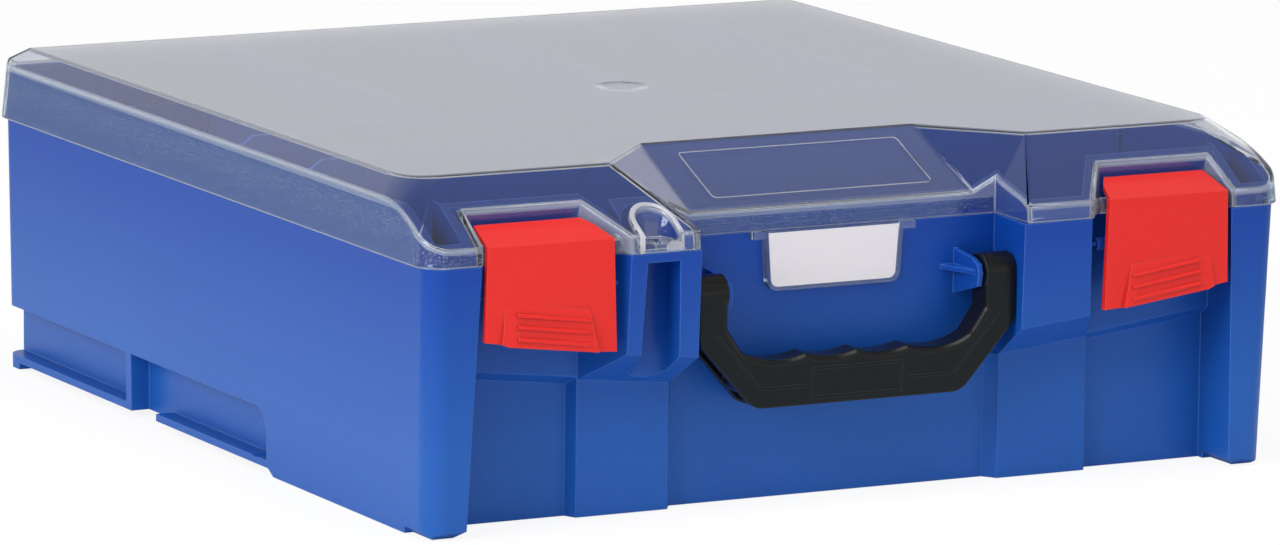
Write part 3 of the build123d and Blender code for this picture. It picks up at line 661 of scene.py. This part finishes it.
def rim_faces(bm, point, normal, wanted):
    """Cuts the wanted upright faces along a plane and returns those above it."""
    faces = [f for f in bm.faces if abs(f.normal.z) < upright_z and wanted(middle_mm(f))]
    cut_across(bm, faces, point, normal)
    above = []
    for face in bm.faces:
        middle = middle_mm(face)
        rises = (middle - Vector(point)).dot(Vector(normal)) > 0
        if abs(face.normal.z) < upright_z and wanted(middle) and rises:
            above.append(face)
    return above


bm = bmesh.new()
bm.from_mesh(nodes["lid_shell"].data)
bmesh.ops.remove_doubles(bm, verts=bm.verts, dist=0.002 * MM)
bmesh.ops.dissolve_limit(bm, angle_limit=math.radians(1.0), verts=bm.verts, edges=bm.edges)
for face in bm.faces:
    face.material_index = POLISHED
    middle = middle_mm(face)
    if face.normal.z > 0.99 and middle.z > top_z:
        face.material_index = ETCHED
    if abs(face.normal.z) < upright_z and on_skirt(middle):
        face.material_index = DOTTED

# The wall is seen edge on along the top of the skirt, the front slope and the centre rim, so bands
# there get the painted highlight.
rim_highlight_bands = (
    ((0, 0, skirt_rim_z - band), (0, 0, 1), lambda m: abs(m.x) > side_x or m.y > back_y),
    (
        (0, slope_y, slope_z - band),
        (0, -slope_rise, slope_run),
        lambda m: m.y < slope_front_y or (abs(m.x) > side_x and m.y < slope_sides_y),
    ),
    ((0, 0, centre_rim_z - centre_band), (0, 0, 1), on_centre_rim),
)
for point, normal, wanted in rim_highlight_bands:
    for face in rim_faces(bm, point, normal, wanted):
        face.material_index = RIM
for strip in (*scoop_highlight_x, scoop_lip_x):
    for x in strip:
        cut_across(bm, [f for f in bm.faces if on_scoop_front(f)], (x, 0, 0), (1, 0, 0))
for face in bm.faces:
    middle = middle_mm(face)
    if on_scoop_front(face):
        face.material_index = POLISHED
        if within(middle.x, scoop_lip_x):
            face.material_index = LIP
        elif any(within(middle.x, strip) for strip in scoop_highlight_x):
            face.material_index = RIM
    beside_notch = any(within(abs(middle.x), span) for span in notch_sides_x)
    plain = face.material_index == POLISHED
    if abs(face.normal.x) > along_axis and beside_notch and middle.y < notch_y and plain:
        face.material_index = RIM

# The gate mark is drawn in to its real size.
for vert in bm.verts:
    x, y, z = vert.co / MM
    if within(z, gate_z) and abs(math.hypot(x, y - gate_y) - gate_radius) < gate_play:
        drawn_y = gate_y + gate_scale * (y - gate_y)
        vert.co = Vector((gate_scale * x, drawn_y, gate_floor_z)) * MM

# Every edge is rounded and painted pale as a highlight, but the sloping facets beside the centre
# panel have clear edges.
sharp = [e for e in bm.edges if e.is_manifold and e.calc_face_angle() > sharp_angle]
facet_edges = [
    [v.co.copy() for v in e.verts]
    for e in sharp
    if min(abs(f.normal.z) for f in e.link_faces) > upright_z
    and abs(e.verts[0].co.z - e.verts[1].co.z) > 0.1 * e.calc_length()
    and max(abs(v.co.x) for v in e.verts) < facet_x * MM
]
made = bmesh.ops.bevel(
    bm,
    geom=sharp,
    offset=edge_round * MM,
    offset_type="OFFSET",
    segments=2,
    profile=0.5,
    affect="EDGES",
    clamp_overlap=False,
    material=RIM,
)
for face in made["faces"]:
    middle = face.calc_center_median()
    for start, end in facet_edges:
        nearest, share = intersect_point_line(middle, start, end)
        if 0 < share < 1 and (nearest - middle).length < MM:
            face.material_index = POLISHED
for face in bm.faces:
    face.smooth = face.calc_area() < flat_area * MM * MM
lid_mesh = bpy.data.meshes.new("lid")
bm.to_mesh(lid_mesh)
bm.free()
lid = bpy.data.objects.new("lid", lid_mesh)
bpy.context.scene.collection.objects.link(lid)
for plastic in lid_plastics:
    lid_mesh.materials.append(plastic)
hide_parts("lid_shell")
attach(lid, "lid")


# ---- notch lips ----
# A low rounded lip is moulded with the lid along three sides of each latch notch. It is of
# the same clear plastic, as thick there as the wall, and it is painted pale as a highlight.
def bead(name, path, profile, closed):
    """A low ridge along a path of points and normals, with a (side, lift) profile, all in mm."""
    bm = bmesh.new()
    rings = []
    count = len(path)
    for i, (point, normal) in enumerate(path):
        following = path[(i + 1) % count if closed else min(i + 1, count - 1)][0]
        previous = path[i - 1 if closed else max(i - 1, 0)][0]
        side = (following - previous).cross(normal).normalized()
        places = [point + side * across_mm + normal * lift for across_mm, lift in profile]
        rings.append([bm.verts.new(place * MM) for place in places])
    for ring, following in zip(rings, rings[1:] + (rings[:1] if closed else [])):
        for i in range(len(profile)):
            j = (i + 1) % len(profile)
            bm.faces.new((ring[i], ring[j], following[j], following[i]))
    if not closed:
        bm.faces.new(rings[0])
        bm.faces.new(reversed(rings[-1]))
    bmesh.ops.recalc_face_normals(bm, faces=bm.faces)
    for face in bm.faces:
        face.smooth = True
    mesh = bpy.data.meshes.new(name)
    bm.to_mesh(mesh)
    bm.free()
    piece = bpy.data.objects.new(name, mesh)
    bpy.context.scene.collection.objects.link(piece)
    return piece


slope_normal = Vector((0, -slope_rise, slope_run)).normalized()


def on_slope(x, y):
    """A point of the lid's front slope and the slope's normal, in millimetres."""
    return Vector((x, y, slope_z + (y - slope_y) * slope_rise / slope_run)), slope_normal


lip_ends_y = -193.2
notch_plan = ((157.3, lip_ends_y), (156.3, -175.2), (107.9, -175.2), (96.3, lip_ends_y))
notch_profile = ((-0.85, -0.05), (-0.65, 0.22), (0.65, 0.22), (0.85, -0.05))
for name, side in (("notch_lip_right", 1), ("notch_lip_left", -1)):
    lip = bead(name, [on_slope(side * x, y) for x, y in notch_plan], notch_profile, False)
    lip.data.materials.append(rim_highlight_plastic)
    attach(lip, "lid")

# ---- scoop lip ----
# A rounded lip is moulded with the lid round the scoop over the tool slot. It is so thick that it
# is painted white as a highlight, and its left arm runs on down the front rim.
lip_reach = scoop_half + 1.0
arm_y = (lip_ends_y, -190.0)
arch_y = scoop_back - scoop_half
arch_steps = 12
lip_plan = [(scoop_x - lip_reach, y) for y in arm_y]
for step in range(arch_steps + 1):
    angle = math.radians(180 - 180 / arch_steps * step)
    lip_plan.append((scoop_x + lip_reach * math.cos(angle), arch_y + lip_reach * math.sin(angle)))
lip_plan += [(scoop_x + lip_reach, y) for y in reversed(arm_y)]
front_normal = Vector((0, -1, 0))
edge_normal = (slope_normal + front_normal).normalized()
lip_path = [
    (Vector((scoop_x - lip_reach, -193.95, 100.3)), front_normal),
    (Vector((scoop_x - lip_reach, -193.9, 105.4)), front_normal),
    (Vector((scoop_x - lip_reach, -193.85, 106.4)), edge_normal),
]
lip_path += [on_slope(x, y) for x, y in lip_plan]
lip_profile = ((-1.1, -0.1), (-0.95, 0.22), (-0.45, 0.45), (0.45, 0.45), (0.95, 0.22), (1.1, -0.1))
lip = bead("scoop_lip", lip_path, lip_profile, False)
lip.data.materials.append(lip_highlight_plastic)
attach(lip, "lid")

# ---- blank panel on the lid ----
# A fine raised line is moulded with the lid round its sunk centre panel, in the same clear
# plastic. The panel is bare inside the line.
panel_y, panel_z, panel_slope = -125.0, 128.0, 0.43218
panel_normal = Vector((0, -panel_slope, 1)).normalized()
half_x, front_y, rear_y, corner = 46.0, -160.8, -132.0, 1.6
corner_steps = 4
line_profile = ((-0.35, -0.05), (-0.14, 0.14), (0.14, 0.14), (0.35, -0.05))
line_path = []
for x, y, start in (
    (half_x - corner, rear_y - corner, 0),
    (-half_x + corner, rear_y - corner, 90),
    (-half_x + corner, front_y + corner, 180),
    (half_x - corner, front_y + corner, 270),
):
    for step in range(corner_steps + 1):
        angle = math.radians(start + 90 / corner_steps * step)
        line_x, line_y = x + corner * math.cos(angle), y + corner * math.sin(angle)
        line_z = panel_z + panel_slope * (line_y - panel_y)
        line_path.append((Vector((line_x, line_y, line_z)), panel_normal))
panel_line = bead("lid_panel_line", line_path, line_profile, True)
panel_line.data.materials.append(polished_plastic)
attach(panel_line, "lid")

# ---- label holder and card ----
# A clear pocket of the same plastic is snapped on the lid's front rim, with a blank card in
# it. The card is uncoated board, off-white with a faint warm fleck.
nodes["label_holder"].material_slots[0].material, _ = clear_polycarbonate(
    "clear_polycarbonate_pocket", "#F2F3F6", haze=0.02, roughness=0.03
)
fibre_mm = 1.5
board, tree = new_material("uncoated_card")
where = add_node(tree, "ShaderNodeTexCoord")
fibres = add_node(
    tree,
    "ShaderNodeTexNoise",
    {"Scale": 1 / (fibre_mm * MM), "Detail": 3.0},
    {"Vector": where.outputs["Object"]},
)
fleck = add_node(
    tree,
    "ShaderNodeMix",
    {"data_type": "RGBA", 6: linear("#FDEFEE"), 7: linear("#FFF8F6")},
    {0: fibres.outputs["Fac"]},
)
card = add_node(
    tree, "ShaderNodeBsdfPrincipled", {"Roughness": 0.85}, {"Base Color": fleck.outputs[2]}
)
add_node(tree, "ShaderNodeOutputMaterial", links={"Surface": card.outputs[0]})
nodes["label_card"].material_slots[0].material = board

# ---- latches ----
# Each latch is one moulding in signal-red polypropylene, clipped on a clear axle of the lid.
# It is satin, with a painted highlight along its edges and painted shade in the creases between its
# grip ridges.
red_polypropylene = moulded_plastic(
    "red_polypropylene",
    body_hex="#DB2620",
    deep_hex="#D3231D",
    edge_highlight_hex="#F4665E",
    roughness=0.30,
    grain_mm=1.0,
    bump=0.10,
    edge_mm=0.45,
    crease_shade=0.65,
)
for name in ("latch_right", "latch_left"):
    nodes[name].material_slots[0].material = red_polypropylene

# ---- handle ----
# The drop handle is one moulding in black nylon, whose stubs turn in two ears of the box. It
# is a satin black, with a painted soft grey highlight along its edges and painted shade in its
# creases.
black_nylon = moulded_plastic(
    "black_nylon",
    body_hex="#111112",
    deep_hex="#0E0E0F",
    edge_highlight_hex="#46464B",
    roughness=0.25,
    grain_mm=0.9,
    bump=0.14,
    edge_mm=0.8,
    crease_shade=0.5,
)
nodes["handle"].material_slots[0].material = black_nylon
